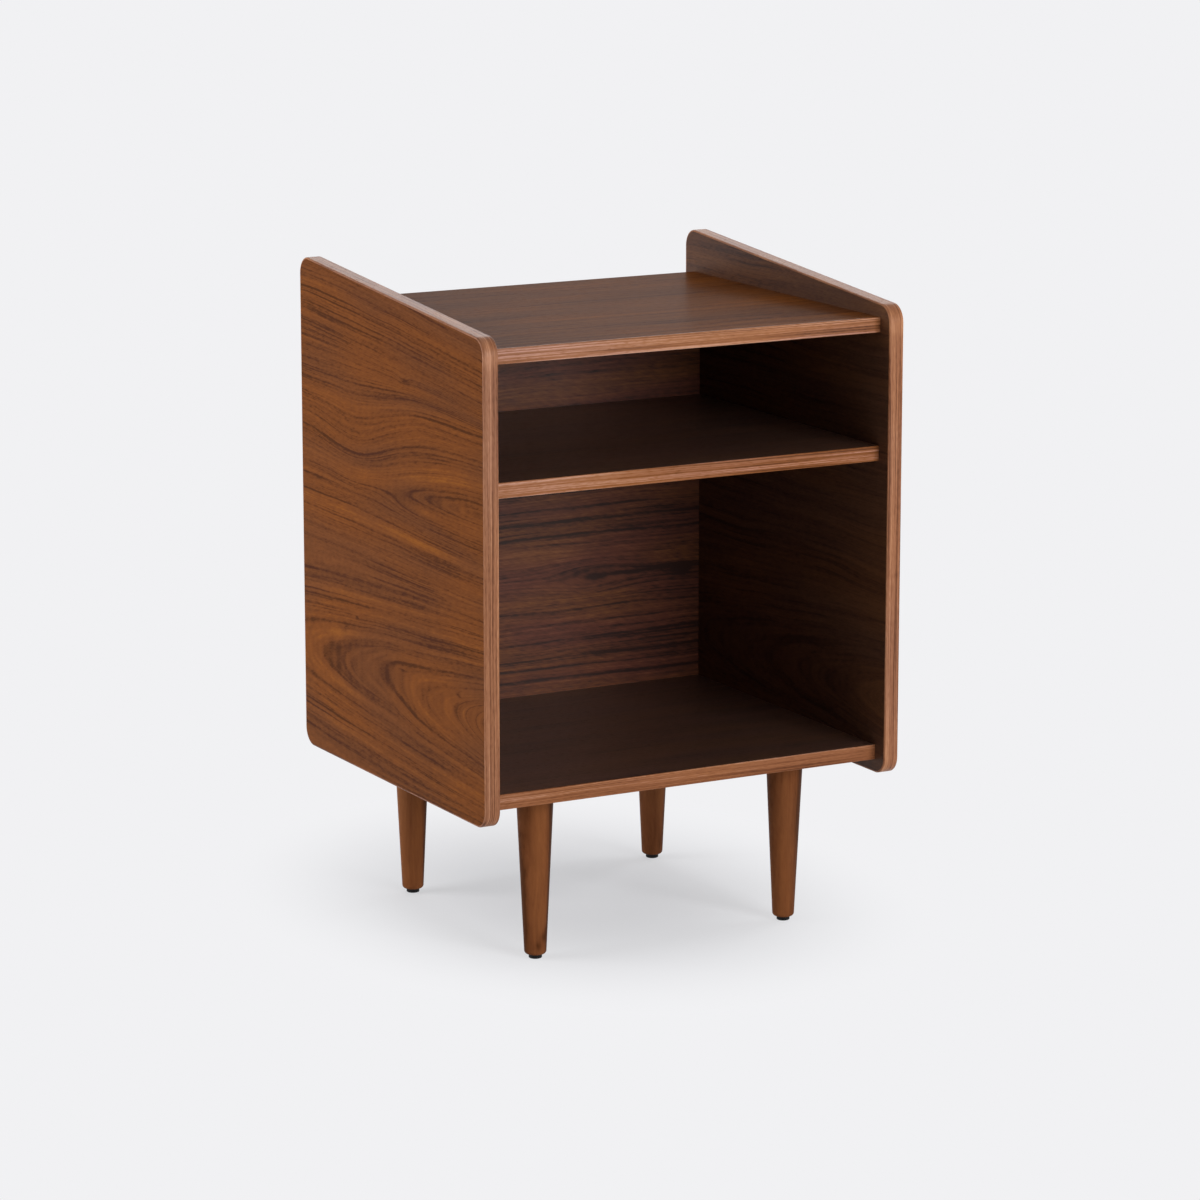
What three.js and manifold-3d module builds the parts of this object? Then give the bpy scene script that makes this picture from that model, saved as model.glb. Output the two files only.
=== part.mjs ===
// An open record cabinet on four turned legs, in millimetres, +Z up.
// X runs across the cabinet, its front faces -Y, and the origin is on the floor under its middle.
import * as THREE from 'three';
import { mergeVertices } from 'three/addons/utils/BufferGeometryUtils.js';
import Module from 'manifold-3d';

const wasm = await Module();
wasm.setup();

// Carcass
const cabinetWidth = 520;
const sideDepth = 455;
const sideThickness = 18;
const sideCornerRadius = 20;
const sideDrop = 15; // the sides reach this far below the bottom panel
const sideRiseFront = 13.5; // and this far above the top panel, at the front
const sideRiseRear = 51; // and at the rear
const standHeight = 190; // floor to the underside of the bottom panel
const panelThickness = 17;
const lowerClearHeight = 324; // takes a 315 mm record sleeve on edge
const upperClearHeight = 127;
const panelSetback = 20; // from the sides' front edges to the panels' front edges
const rearSpaceDepth = 26; // from the back panel to the sides' rear edges

// Edge bands, with their long edges rounded by a share of their thickness
const bandThickness = 2;
const sideArrisShare = 0.8;
const panelArrisShare = 0.4;

// Back panel, held in grooves
const backThickness = 9;
const grooveDepth = 5;
const topRearOverhang = 6; // the top panel covers the back panel by this much

// Clearances
const fitGap = 0.3; // round a fastener, a dowel or the back panel's edge
const cutOverrun = 1; // how far a cutting shape passes the face that it opens

// Legs
const legTopRadius = 21;
const legFootRadius = 12.4;
const legFootRounding = 4.2;
const legInsetSide = 101; // from the outer face of a side to a leg's axis
const legInsetFront = 79; // from the sides' front edges to the front legs' axis
const legInsetRear = 71; // from the sides' rear edges to the rear legs' axis

// Glides, each moulded on its nail
const glideRadius = 7.4;
const glideThickness = 4.5;
const glideEdgeRadius = 1;
const nailRadius = 1.2;
const nailLength = 14;
const nailPointLength = 3;

// Leg fixings: a hanger bolt in the leg, and a threaded insert in the bottom panel
const hangerRadius = 4;
const hangerInLeg = 32;
const hangerPointLength = 5;
const hangerChamfer = 0.8;
const insertCover = 3.5; // board left above an insert
const insertRadius = 6;
const insertFlangeRadius = 8;
const insertFlangeThickness = 1;
const insertPastHanger = 1.5; // how far an insert reaches past the end of its bolt

// Cam fittings
const fittingInset = 60; // from the panels' front edges, and from the back panel, to a fitting
const camRadius = 7.5;
const camRise = 3.9; // height of a cam above the axis of its bolt
const camSetback = 24; // from a panel's end to a cam's axis
const camWall = 2.2;
const camSlotLength = 9;
const camSlotWidth = 1.6;
const camSlotDepth = 2.4;
const camBoltHeadRadius = 3;
const camBoltHeadLength = 2.6;
const camBoltHeadShortfall = 1; // from a cam's axis to the end of the bolt's head
const camBoltNeckRadius = 1.9;
const camBoltShankRadius = 3.4;
const camBoltThreadRadius = 3;
const camBoltThreadLength = 11;
const camBoltPointLength = 1.5;

// Dowels
const dowelRadius = 4;
const dowelInSide = 10;
const dowelInPanel = 20;
const dowelChamfer = 1;

// Screws that hold the back panel to the rear edge of the bottom panel
const screwInset = 45; // from a side's inner face to a screw's axis
const screwRadius = 1.75;
const screwLength = 30;
const screwHeadRadius = 3.5;
const screwHeadDepth = 2.2;
const screwPointLength = 4;
const screwCrossLength = 4;
const screwCrossWidth = 0.8;
const screwCrossDepth = 1.1;

// Facets
const cornerSteps = 8;
const arrisSteps = 3;
const legSides = 32;
const camSides = 16;
const boreSides = 12;
const fastenerSides = 10;

// Places that follow from the sizes above
const sideOuterX = cabinetWidth / 2;
const sideInnerX = sideOuterX - sideThickness;
const sideFrontY = -sideDepth / 2;
const sideRearY = sideDepth / 2;
const panelFrontY = sideFrontY + panelSetback;
const coreFrontY = panelFrontY + bandThickness;
const backRearY = sideRearY - rearSpaceDepth;
const backFrontY = backRearY - backThickness;
const topRearY = backRearY + topRearOverhang;
const bottomLowZ = standHeight;
const shelfLowZ = bottomLowZ + panelThickness + lowerClearHeight;
const topLowZ = shelfLowZ + panelThickness + upperClearHeight;
const topHighZ = topLowZ + panelThickness;
const sideLowZ = bottomLowZ - sideDrop;
const axisRise = panelThickness / 2; // fittings lie half way up the thickness of a panel
const camHeight = axisRise + camRise;
const legX = sideOuterX - legInsetSide;
const legFrontY = sideFrontY + legInsetFront;
const legRearY = sideRearY - legInsetRear;
const insertLength = panelThickness - insertCover;
const hangerHighZ = standHeight + insertLength - insertPastHanger;
const fittingFrontY = panelFrontY + fittingInset;
const fittingRearY = backFrontY - fittingInset;
const dowelY = (fittingFrontY + fittingRearY) / 2;
const screwX = sideInnerX - screwInset;
const screwZ = bottomLowZ + axisRise;

const panels = [
  { name: 'bottom', node: 'bottom_panel', lowZ: bottomLowZ, rearY: backFrontY },
  { name: 'shelf', node: 'middle_shelf', lowZ: shelfLowZ, rearY: backFrontY },
  { name: 'top', node: 'top_panel', lowZ: topLowZ, rearY: topRearY },
];
const hands = [
  { name: 'left', sign: -1 },
  { name: 'right', sign: 1 },
];
const fittingRows = [
  { name: 'front', y: fittingFrontY },
  { name: 'rear', y: fittingRearY },
];
const legRows = [
  { name: 'front', y: legFrontY },
  { name: 'rear', y: legRearY },
];

const finish = (color, roughness, metalness) =>
  new THREE.MeshStandardMaterial({ color, roughness, metalness });
const sideVeneer = finish(0x7a4a2c, 0.45, 0);
const panelVeneer = finish(0x5a3422, 0.35, 0);
const edgeVeneer = finish(0xa06a4c, 0.5, 0);
const stainedLeg = finish(0x7a4526, 0.45, 0);
const blackPlastic = finish(0x201d1b, 0.5, 0);
const zincAlloy = finish(0xa9abad, 0.35, 1);
const zincSteel = finish(0xb9bbbd, 0.3, 1);
const beech = finish(0xcdaa7d, 0.7, 0);

const cabinet = new THREE.Group();

function addMesh(name, geometry, material) {
  const mesh = new THREE.Mesh(geometry, material);
  mesh.name = name;
  cabinet.add(mesh);
}

// A closed geometry as a solid, with its shared corners merged.
function toSolid(geometry) {
  const plain = geometry.clone();
  plain.deleteAttribute('normal');
  plain.deleteAttribute('uv');
  const merged = mergeVertices(plain);
  const vertProperties = new Float32Array(merged.attributes.position.array);
  const triVerts = new Uint32Array(merged.index.array);
  return new wasm.Manifold(new wasm.Mesh({ numProp: 3, vertProperties, triVerts }));
}

function toGeometry(solid) {
  const mesh = solid.getMesh();
  const geometry = new THREE.BufferGeometry();
  geometry.setAttribute('position', new THREE.BufferAttribute(mesh.vertProperties, 3));
  geometry.setIndex(new THREE.BufferAttribute(mesh.triVerts, 1));
  geometry.computeVertexNormals();
  return geometry;
}

function cut(geometry, tools) {
  const solid = tools.reduce((left, tool) => left.subtract(toSolid(tool)), toSolid(geometry));
  return toGeometry(solid);
}

function block(lowX, highX, lowY, highY, lowZ, highZ) {
  const geometry = new THREE.BoxGeometry(highX - lowX, highY - lowY, highZ - lowZ);
  return geometry.translate((lowX + highX) / 2, (lowY + highY) / 2, (lowZ + highZ) / 2);
}

// A turned piece on the Z axis, from pairs of radius and height.
function turned(profile, sides) {
  const points = profile.map(([radius, height]) => new THREE.Vector2(radius, height));
  return new THREE.LatheGeometry(points, sides).rotateX(Math.PI / 2);
}

function rod(radius, start, end, sides) {
  return turned([[0, start], [radius, start], [radius, end], [0, end]], sides);
}

// A round hole of some depth, open at its start and clear of the piece that goes in it.
function hole(radius, depth, sides) {
  return rod(radius + fitGap, -cutOverrun, depth + fitGap, sides);
}

// Lays a piece made along +Z along X, pointing the way that the sign gives.
const alongX = (geometry, sign) => geometry.rotateY((sign * Math.PI) / 2);

// Lays a piece made along +Z along -Y, towards the front.
const alongFront = (geometry) => geometry.rotateX(Math.PI / 2);

function arc(centreX, centreY, radius, startAngle, endAngle) {
  const points = [];
  for (let i = 0; i <= arrisSteps; i += 1) {
    const angle = startAngle + ((endAngle - startAngle) * i) / arrisSteps;
    points.push([centreX + radius * Math.cos(angle), centreY + radius * Math.sin(angle)]);
  }
  return points;
}

// A shape drawn in Y and Z, extruded along X.
function extrudeAcross(points, lowX, highX) {
  const shape = new THREE.Shape(points);
  const geometry = new THREE.ExtrudeGeometry(shape, { depth: highX - lowX, bevelEnabled: false });
  const basis = new THREE.Matrix4().makeBasis(
    new THREE.Vector3(0, 1, 0),
    new THREE.Vector3(0, 0, 1),
    new THREE.Vector3(1, 0, 0),
  );
  return geometry.applyMatrix4(basis).translate(lowX, 0, 0);
}

// The outline of a side in Y and Z, as points with their outward normals.
function sideOutline() {
  const corners = [
    new THREE.Vector2(sideFrontY, sideLowZ),
    new THREE.Vector2(sideRearY, sideLowZ),
    new THREE.Vector2(sideRearY, topHighZ + sideRiseRear),
    new THREE.Vector2(sideFrontY, topHighZ + sideRiseFront),
  ];
  return corners.flatMap((corner, i) => {
    const before = corners[(i + corners.length - 1) % corners.length];
    const after = corners[(i + 1) % corners.length];
    const arriving = corner.clone().sub(before).normalize();
    const leaving = after.clone().sub(corner).normalize();
    const inward = new THREE.Vector2(-arriving.y, arriving.x);
    const turn = Math.acos(arriving.dot(leaving));
    const centre = corner.clone();
    centre.addScaledVector(arriving, -sideCornerRadius * Math.tan(turn / 2));
    centre.addScaledVector(inward, sideCornerRadius);
    const startAngle = Math.atan2(-inward.y, -inward.x);
    const places = [];
    for (let step = 0; step <= cornerSteps; step += 1) {
      const angle = startAngle + (turn * step) / cornerSteps;
      const normal = new THREE.Vector2(Math.cos(angle), Math.sin(angle));
      places.push({ point: centre.clone().addScaledVector(normal, sideCornerRadius), normal });
    }
    return places;
  });
}

const insetPoint = ({ point, normal }, inset) => point.clone().addScaledVector(normal, -inset);

// A closed ring: a section, in pairs of inset and X, carried round an outline.
function ringAround(outline, section) {
  const positions = outline.flatMap((place) => section.flatMap(([inset, x]) => {
    const at = insetPoint(place, inset);
    return [x, at.x, at.y];
  }));
  const indices = outline.flatMap((_, i) => section.flatMap((__, j) => {
    const nextI = (i + 1) % outline.length;
    const nextJ = (j + 1) % section.length;
    const a = i * section.length + j;
    const b = i * section.length + nextJ;
    const c = nextI * section.length + nextJ;
    const d = nextI * section.length + j;
    return [a, b, c, a, c, d];
  }));
  const geometry = new THREE.BufferGeometry();
  geometry.setAttribute('position', new THREE.Float32BufferAttribute(positions, 3));
  geometry.setIndex(indices);
  geometry.computeVertexNormals();
  return geometry;
}

// Holes in the inner face of a side for the bolts and dowels of all panels.
function sideHoles(sign) {
  return panels.flatMap(({ lowZ }) => {
    const bolts = fittingRows.map(({ y }) => {
      const bore = hole(camBoltThreadRadius, camBoltThreadLength, boreSides);
      return alongX(bore, sign).translate(sign * sideInnerX, y, lowZ + axisRise);
    });
    const dowel = alongX(hole(dowelRadius, dowelInSide, boreSides), sign);
    return [...bolts, dowel.translate(sign * sideInnerX, dowelY, lowZ + axisRise)];
  });
}

// The groove in the inner face of a side that takes the edge of the back panel.
function sideGroove(sign) {
  const mouthX = sign * (sideInnerX - cutOverrun);
  const floorX = sign * (sideInnerX + grooveDepth);
  return block(
    Math.min(mouthX, floorX),
    Math.max(mouthX, floorX),
    backFrontY - fitGap,
    backRearY + fitGap,
    bottomLowZ - fitGap,
    topLowZ + grooveDepth,
  );
}

function addSide({ name, sign }) {
  const lowX = Math.min(sign * sideInnerX, sign * sideOuterX);
  const highX = Math.max(sign * sideInnerX, sign * sideOuterX);
  const outline = sideOutline();
  const core = extrudeAcross(outline.map((place) => insetPoint(place, bandThickness)), lowX, highX);
  const tools = [...sideHoles(sign), sideGroove(sign)];
  addMesh(`side_panel_${name}`, cut(core, tools), sideVeneer);

  const arris = bandThickness * sideArrisShare;
  const section = [
    [bandThickness, highX],
    ...arc(arris, highX - arris, arris, Math.PI / 2, Math.PI),
    ...arc(arris, lowX + arris, arris, Math.PI, Math.PI * 1.5),
    [bandThickness, lowX],
  ];
  addMesh(`side_edge_band_${name}`, ringAround(outline, section), edgeVeneer);
}

// Pockets for the cams in the underside of a panel, and bores in its ends for bolts and dowels.
function panelFittingHoles(lowZ) {
  return hands.flatMap(({ sign }) => {
    const endX = sign * sideInnerX;
    const cams = fittingRows.flatMap(({ y }) => {
      const pocket = hole(camRadius, camHeight, camSides);
      const bore = alongX(hole(camBoltShankRadius, camSetback, boreSides), -sign);
      return [
        pocket.translate(endX - sign * camSetback, y, lowZ),
        bore.translate(endX, y, lowZ + axisRise),
      ];
    });
    const dowel = alongX(hole(dowelRadius, dowelInPanel, boreSides), -sign);
    return [...cams, dowel.translate(endX, dowelY, lowZ + axisRise)];
  });
}

// The groove in the underside of the top panel that takes the upper edge of the back panel.
function topGroove() {
  return block(
    -sideInnerX - cutOverrun,
    sideInnerX + cutOverrun,
    backFrontY - fitGap,
    backRearY + fitGap,
    topLowZ - cutOverrun,
    topLowZ + grooveDepth,
  );
}

function bottomPanelHoles() {
  return hands.flatMap(({ sign }) => {
    const inserts = legRows.flatMap(({ y }) => [
      hole(insertRadius, insertLength, boreSides).translate(sign * legX, y, bottomLowZ),
      hole(insertFlangeRadius, insertFlangeThickness + fitGap, camSides)
        .translate(sign * legX, y, bottomLowZ),
    ]);
    const screw = alongFront(hole(screwRadius, screwLength - backThickness, boreSides));
    return [...inserts, screw.translate(sign * screwX, backFrontY, screwZ)];
  });
}

function addPanel({ name, node, lowZ, rearY }) {
  const highZ = lowZ + panelThickness;
  const tools = panelFittingHoles(lowZ);
  if (name === 'top') tools.push(topGroove());
  if (name === 'bottom') tools.push(...bottomPanelHoles());
  const board = block(-sideInnerX, sideInnerX, coreFrontY, rearY, lowZ, highZ);
  addMesh(node, cut(board, tools), panelVeneer);

  const arris = bandThickness * panelArrisShare;
  const section = [
    [coreFrontY, lowZ],
    [coreFrontY, highZ],
    ...arc(panelFrontY + arris, highZ - arris, arris, Math.PI / 2, Math.PI),
    ...arc(panelFrontY + arris, lowZ + arris, arris, Math.PI, Math.PI * 1.5),
  ];
  const points = section.map(([y, z]) => new THREE.Vector2(y, z));
  addMesh(`${node}_edge_band`, extrudeAcross(points, -sideInnerX, sideInnerX), edgeVeneer);
}

function addBack() {
  const halfWidth = sideInnerX + grooveDepth - fitGap;
  const highZ = topLowZ + grooveDepth - fitGap;
  const board = block(-halfWidth, halfWidth, backFrontY, backRearY, bottomLowZ, highZ);
  const tools = hands.map(({ sign }) => {
    const countersunk = turned([
      [0, -cutOverrun],
      [screwHeadRadius + fitGap, -cutOverrun],
      [screwHeadRadius + fitGap, fitGap],
      [screwRadius + fitGap, screwHeadDepth + fitGap],
      [screwRadius + fitGap, backThickness + cutOverrun],
      [0, backThickness + cutOverrun],
    ], boreSides);
    return alongFront(countersunk).translate(sign * screwX, backRearY, screwZ);
  });
  addMesh('back_panel', cut(board, tools), panelVeneer);
}

// A cross of two slots, cut down to a depth in the face at the origin.
function crossSlots(length, width, depth) {
  return [
    block(-length / 2, length / 2, -width / 2, width / 2, -cutOverrun, depth),
    block(-width / 2, width / 2, -length / 2, length / 2, -cutOverrun, depth),
  ];
}

function addBackScrew({ name, sign }) {
  const body = turned([
    [0, fitGap],
    [screwHeadRadius, fitGap],
    [screwRadius, fitGap + screwHeadDepth],
    [screwRadius, screwLength - screwPointLength],
    [0, screwLength],
  ], fastenerSides);
  const screw = cut(body, crossSlots(screwCrossLength, screwCrossWidth, fitGap + screwCrossDepth));
  addMesh(
    `back_screw_${name}`,
    alongFront(screw).translate(sign * screwX, backRearY, screwZ),
    zincSteel,
  );
}

// The cam stands in its pocket with its slots facing down and its mouth towards the panel's end.
function addCam(panel, hand, row) {
  const hollowEnd = camRadius - camWall;
  const hollow = rod(camBoltHeadRadius + fitGap, -camBoltHeadShortfall, hollowEnd, boreSides);
  const mouth = rod(camBoltNeckRadius + fitGap, 0, camRadius + cutOverrun, boreSides);
  const tools = [
    ...crossSlots(camSlotLength, camSlotWidth, camSlotDepth),
    alongX(hollow, hand.sign).translate(0, 0, axisRise),
    alongX(mouth, hand.sign).translate(0, 0, axisRise),
  ];
  const cam = cut(rod(camRadius, 0, camHeight, camSides), tools);
  cam.translate(hand.sign * (sideInnerX - camSetback), row.y, panel.lowZ);
  addMesh(`cam_lock_${panel.name}_${hand.name}_${row.name}`, cam, zincAlloy);
}

// The bolt is screwed into the side, and its head sits in the cam.
function addCamBolt(panel, hand, row) {
  const headEnd = camBoltHeadShortfall - camSetback;
  const headStart = headEnd + camBoltHeadLength;
  const neckStart = camRadius + fitGap - camSetback;
  const bolt = turned([
    [0, headEnd],
    [camBoltHeadRadius, headEnd],
    [camBoltHeadRadius, headStart],
    [camBoltNeckRadius, headStart],
    [camBoltNeckRadius, neckStart],
    [camBoltShankRadius, neckStart],
    [camBoltShankRadius, -fitGap],
    [camBoltThreadRadius, -fitGap],
    [camBoltThreadRadius, camBoltThreadLength - camBoltPointLength],
    [0, camBoltThreadLength],
  ], fastenerSides);
  alongX(bolt, hand.sign).translate(hand.sign * sideInnerX, row.y, panel.lowZ + axisRise);
  addMesh(`cam_bolt_${panel.name}_${hand.name}_${row.name}`, bolt, zincSteel);
}

function addDowel(panel, hand) {
  const dowel = turned([
    [0, -dowelInPanel],
    [dowelRadius - dowelChamfer, -dowelInPanel],
    [dowelRadius, dowelChamfer - dowelInPanel],
    [dowelRadius, dowelInSide - dowelChamfer],
    [dowelRadius - dowelChamfer, dowelInSide],
    [0, dowelInSide],
  ], fastenerSides);
  alongX(dowel, hand.sign).translate(hand.sign * sideInnerX, dowelY, panel.lowZ + axisRise);
  addMesh(`dowel_${panel.name}_${hand.name}`, dowel, beech);
}

function legGeometry() {
  const boreFloorZ = standHeight - hangerInLeg - fitGap;
  const nailHoleZ = glideThickness + nailLength + fitGap;
  return turned([
    [0, nailHoleZ],
    [nailRadius + fitGap, nailHoleZ],
    [nailRadius + fitGap, glideThickness],
    ...arc(
      legFootRadius - legFootRounding,
      glideThickness + legFootRounding,
      legFootRounding,
      -Math.PI / 2,
      0,
    ),
    [legTopRadius, standHeight],
    [hangerRadius + fitGap, standHeight],
    [hangerRadius + fitGap, boreFloorZ],
    [0, boreFloorZ],
  ], legSides);
}

function glideGeometry() {
  return turned([
    [0, 0],
    ...arc(glideRadius - glideEdgeRadius, glideEdgeRadius, glideEdgeRadius, -Math.PI / 2, 0),
    [glideRadius, glideThickness],
    [nailRadius, glideThickness],
    [nailRadius, glideThickness + nailLength - nailPointLength],
    [0, glideThickness + nailLength],
  ], camSides);
}

function hangerBoltGeometry() {
  const tipZ = standHeight - hangerInLeg;
  return turned([
    [0, tipZ],
    [hangerRadius, tipZ + hangerPointLength],
    [hangerRadius, hangerHighZ - hangerChamfer],
    [hangerRadius - hangerChamfer, hangerHighZ],
    [0, hangerHighZ],
  ], fastenerSides);
}

function insertGeometry() {
  const lowZ = standHeight + fitGap;
  const flangeZ = lowZ + insertFlangeThickness;
  const highZ = standHeight + insertLength;
  const boreRadius = hangerRadius + fitGap;
  return turned([
    [boreRadius, lowZ],
    [insertFlangeRadius, lowZ],
    [insertFlangeRadius, flangeZ],
    [insertRadius, flangeZ],
    [insertRadius, highZ],
    [boreRadius, highZ],
    [boreRadius, lowZ],
  ], boreSides);
}

function addLeg(hand, row) {
  const x = hand.sign * legX;
  const end = `${row.name}_${hand.name}`;
  addMesh(`leg_${end}`, legGeometry().translate(x, row.y, 0), stainedLeg);
  addMesh(`glide_${end}`, glideGeometry().translate(x, row.y, 0), blackPlastic);
  addMesh(`hanger_bolt_${end}`, hangerBoltGeometry().translate(x, row.y, 0), zincSteel);
  addMesh(`leg_insert_${end}`, insertGeometry().translate(x, row.y, 0), zincAlloy);
}

hands.forEach(addSide);
panels.forEach(addPanel);
addBack();
hands.forEach(addBackScrew);
for (const hand of hands) {
  for (const panel of panels) {
    for (const row of fittingRows) {
      addCam(panel, hand, row);
      addCamBolt(panel, hand, row);
    }
    addDowel(panel, hand);
  }
  for (const row of legRows) addLeg(hand, row);
}

export default cabinet;
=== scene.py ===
import math

import bmesh
import bpy
from mathutils import Matrix, Vector


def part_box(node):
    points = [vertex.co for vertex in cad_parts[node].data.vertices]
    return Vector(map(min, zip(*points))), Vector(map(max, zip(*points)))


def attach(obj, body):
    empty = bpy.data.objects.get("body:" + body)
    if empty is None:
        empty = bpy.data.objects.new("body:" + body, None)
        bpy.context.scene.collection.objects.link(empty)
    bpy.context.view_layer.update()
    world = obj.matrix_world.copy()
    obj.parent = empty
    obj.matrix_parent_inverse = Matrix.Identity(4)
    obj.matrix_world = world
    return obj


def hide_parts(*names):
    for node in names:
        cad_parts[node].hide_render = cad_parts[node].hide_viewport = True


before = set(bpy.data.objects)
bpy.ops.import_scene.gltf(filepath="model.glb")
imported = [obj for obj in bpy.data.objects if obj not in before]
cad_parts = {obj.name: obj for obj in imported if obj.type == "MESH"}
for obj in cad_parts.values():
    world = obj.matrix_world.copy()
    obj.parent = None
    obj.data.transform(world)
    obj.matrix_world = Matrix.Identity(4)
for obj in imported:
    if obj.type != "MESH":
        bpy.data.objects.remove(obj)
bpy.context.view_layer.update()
mm = 0.001
hands = ("left", "right")
rows = ("front", "rear")
panelNodes = {"bottom": "bottom_panel", "shelf": "middle_shelf", "top": "top_panel"}
print("frame loaded:", len(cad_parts), "nodes")


def hexColour(text):
    # sRGB hex to the linear colour that the shaders take, by the sRGB standard's own numbers
    parts = [int(text[i:i + 2], 16) / 255 for i in (1, 3, 5)]
    linear = [p / 12.92 if p <= 0.04045 else ((p + 0.055) / 1.055) ** 2.4 for p in parts]
    return (*linear, 1.0)


def addNode(tree, kind, inputs=None, **settings):
    node = tree.nodes.new("ShaderNode" + kind)
    for name, value in settings.items():
        setattr(node, name, value)
    for socket, value in (inputs or {}).items():
        if isinstance(value, bpy.types.Node):
            value = value.outputs[0]
        if isinstance(value, bpy.types.NodeSocket):
            tree.links.new(value, node.inputs[socket])
        else:
            node.inputs[socket].default_value = value
    return node


def newMaterial(name):
    material = bpy.data.materials.new(name)
    material.use_nodes = True
    tree = material.node_tree
    tree.nodes.clear()
    return material, tree


# Camera: where the photograph was taken from, left of the front and a little above, with a long lens
cameraSetup = {
    "place": (-2.3964, -4.4095, 1.4305),
    "yaw": 28.553,    # degrees, towards +X from straight at the front
    "pitch": 12.052,  # degrees, down
    "lens": 136.05,
    "sensor": 36.0,
    "clipEnd": 100.0,
}


def addCamera(setup):
    yaw, pitch = math.radians(setup["yaw"]), math.radians(setup["pitch"])
    ahead = Vector((math.sin(yaw) * math.cos(pitch), math.cos(yaw) * math.cos(pitch), -math.sin(pitch)))
    data = bpy.data.cameras.new("camera")
    data.lens = setup["lens"]
    data.sensor_width = setup["sensor"]
    data.clip_end = setup["clipEnd"]
    camera = bpy.data.objects.new("camera", data)
    camera.location = setup["place"]
    camera.rotation_euler = ahead.to_track_quat("-Z", "Y").to_euler()
    bpy.context.scene.collection.objects.link(camera)
    bpy.context.scene.camera = camera


addCamera(cameraSetup)
bpy.context.scene.view_settings.view_transform = "Standard"
print("camera placed")

# Studio: softboxes round the cabinet, and a pale world
studio = {
    "backdrop": "#f1f1f3",
    "ambient": 0.16,  # strength of the world as light on matt surfaces
    "lamps": {
        # places and sizes are in metres
        "leftBox": {"place": (-2.75, 0.85, 1.05), "target": (0, 0, 0.45), "size": (2.1, 1.7), "watts": 61},
        "frontBox": {"place": (0.7, -2.95, 1.15), "target": (0, 0, 0.45), "size": (1.4, 1.5), "watts": 62},
        "topBox": {"place": (0.0, 0.1, 2.9), "target": (0, 0, 0.4), "size": (2.4, 2.4), "watts": 9},
        "rightBox": {"place": (2.7, 0.3, 1.1), "target": (0, 0, 0.45), "size": (2.4, 1.8), "watts": 38},
        "rearBox": {"place": (1.15, 2.65, 2.0), "target": (0, 0, 0.6), "size": (2.4, 0.9), "watts": 18},
    },
}


def addLamp(name, setup):
    data = bpy.data.lights.new(name, "AREA")
    data.shape = "RECTANGLE"
    data.size, data.size_y = setup["size"]
    data.energy = setup["watts"]
    lamp = bpy.data.objects.new(name, data)
    lamp.location = setup["place"]
    ahead = Vector(setup["target"]) - Vector(setup["place"])
    lamp.rotation_euler = ahead.to_track_quat("-Z", "Y").to_euler()
    bpy.context.scene.collection.objects.link(lamp)


def seenDirectly(tree):
    # 1 for rays from the camera, off a gloss or through glass, and 0 for the light on matt surfaces
    path = addNode(tree, "LightPath")
    seen = addNode(tree, "Math", {0: path.outputs["Is Camera Ray"], 1: path.outputs["Is Glossy Ray"]},
                   operation="MAXIMUM")
    return addNode(tree, "Math", {0: seen, 1: path.outputs["Is Transmission Ray"]}, operation="MAXIMUM")


def setWorld(setup):
    world = bpy.data.worlds.new("paleStudio")
    bpy.context.scene.world = world
    world.use_nodes = True
    tree = world.node_tree
    tree.nodes.clear()
    colour = hexColour(setup["backdrop"])
    light = addNode(tree, "Background", {"Color": colour, "Strength": setup["ambient"]})
    seen = addNode(tree, "Background", {"Color": colour, "Strength": 1.0})
    both = addNode(tree, "MixShader", {0: seenDirectly(tree), 1: light, 2: seen})
    addNode(tree, "OutputWorld", {0: both})


floorSetup = {
    "radius": 3.0,
    "sides": 96,
    "clearBelow": 0.0005,
    "paint": "#e2e4e8",
    "glow": 0.36,  # share of the backdrop's own colour under the cabinet, which keeps the shadow pale
    "middle": (0.0, 0.06, 0.0),
    "reach": (0.33, 0.43, 1.0),  # half widths in metres of the oval that the shadow keeps to
    "fadeStart": 0.15,  # shares of that oval, from where the floor turns into the backdrop
    "fadeEnd": 1.15,
}


def addFloor(setup, backdrop):
    # Matt pale paint: a soft shadow and no reflection
    material, tree = newMaterial("paintedStudioFloor")
    place = addNode(tree, "TexCoord").outputs["Object"]
    offset = addNode(tree, "VectorMath", {0: place, 1: setup["middle"]}, operation="SUBTRACT")
    share = addNode(tree, "VectorMath", {0: offset, 1: setup["reach"]}, operation="DIVIDE")
    distance = addNode(tree, "VectorMath", {0: share}, operation="LENGTH").outputs["Value"]
    fade = addNode(tree, "MapRange", {
        "Value": distance, "From Min": setup["fadeStart"], "From Max": setup["fadeEnd"],
        "To Min": setup["glow"], "To Max": 1.0,
    }, interpolation_type="SMOOTHSTEP")
    glowing = addNode(tree, "Math", {0: fade, 1: seenDirectly(tree)}, operation="MULTIPLY")
    paint = addNode(tree, "BsdfDiffuse", {"Color": hexColour(setup["paint"])})
    glow = addNode(tree, "Emission", {"Color": hexColour(backdrop), "Strength": 1.0})
    both = addNode(tree, "MixShader", {0: glowing, 1: paint, 2: glow})
    addNode(tree, "OutputMaterial", {0: both})
    mesh = bpy.data.meshes.new("studioFloor")
    ring = bmesh.new()
    bmesh.ops.create_circle(ring, cap_ends=True, radius=setup["radius"], segments=setup["sides"])
    ring.to_mesh(mesh)
    ring.free()
    mesh.materials.append(material)
    floor = bpy.data.objects.new("studioFloor", mesh)
    floor.location.z = -setup["clearBelow"]
    bpy.context.scene.collection.objects.link(floor)


for name, lampSetup in studio["lamps"].items():
    addLamp(name, lampSetup)
setWorld(studio)
addFloor(floorSetup, studio["backdrop"])
print("studio lit")

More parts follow.
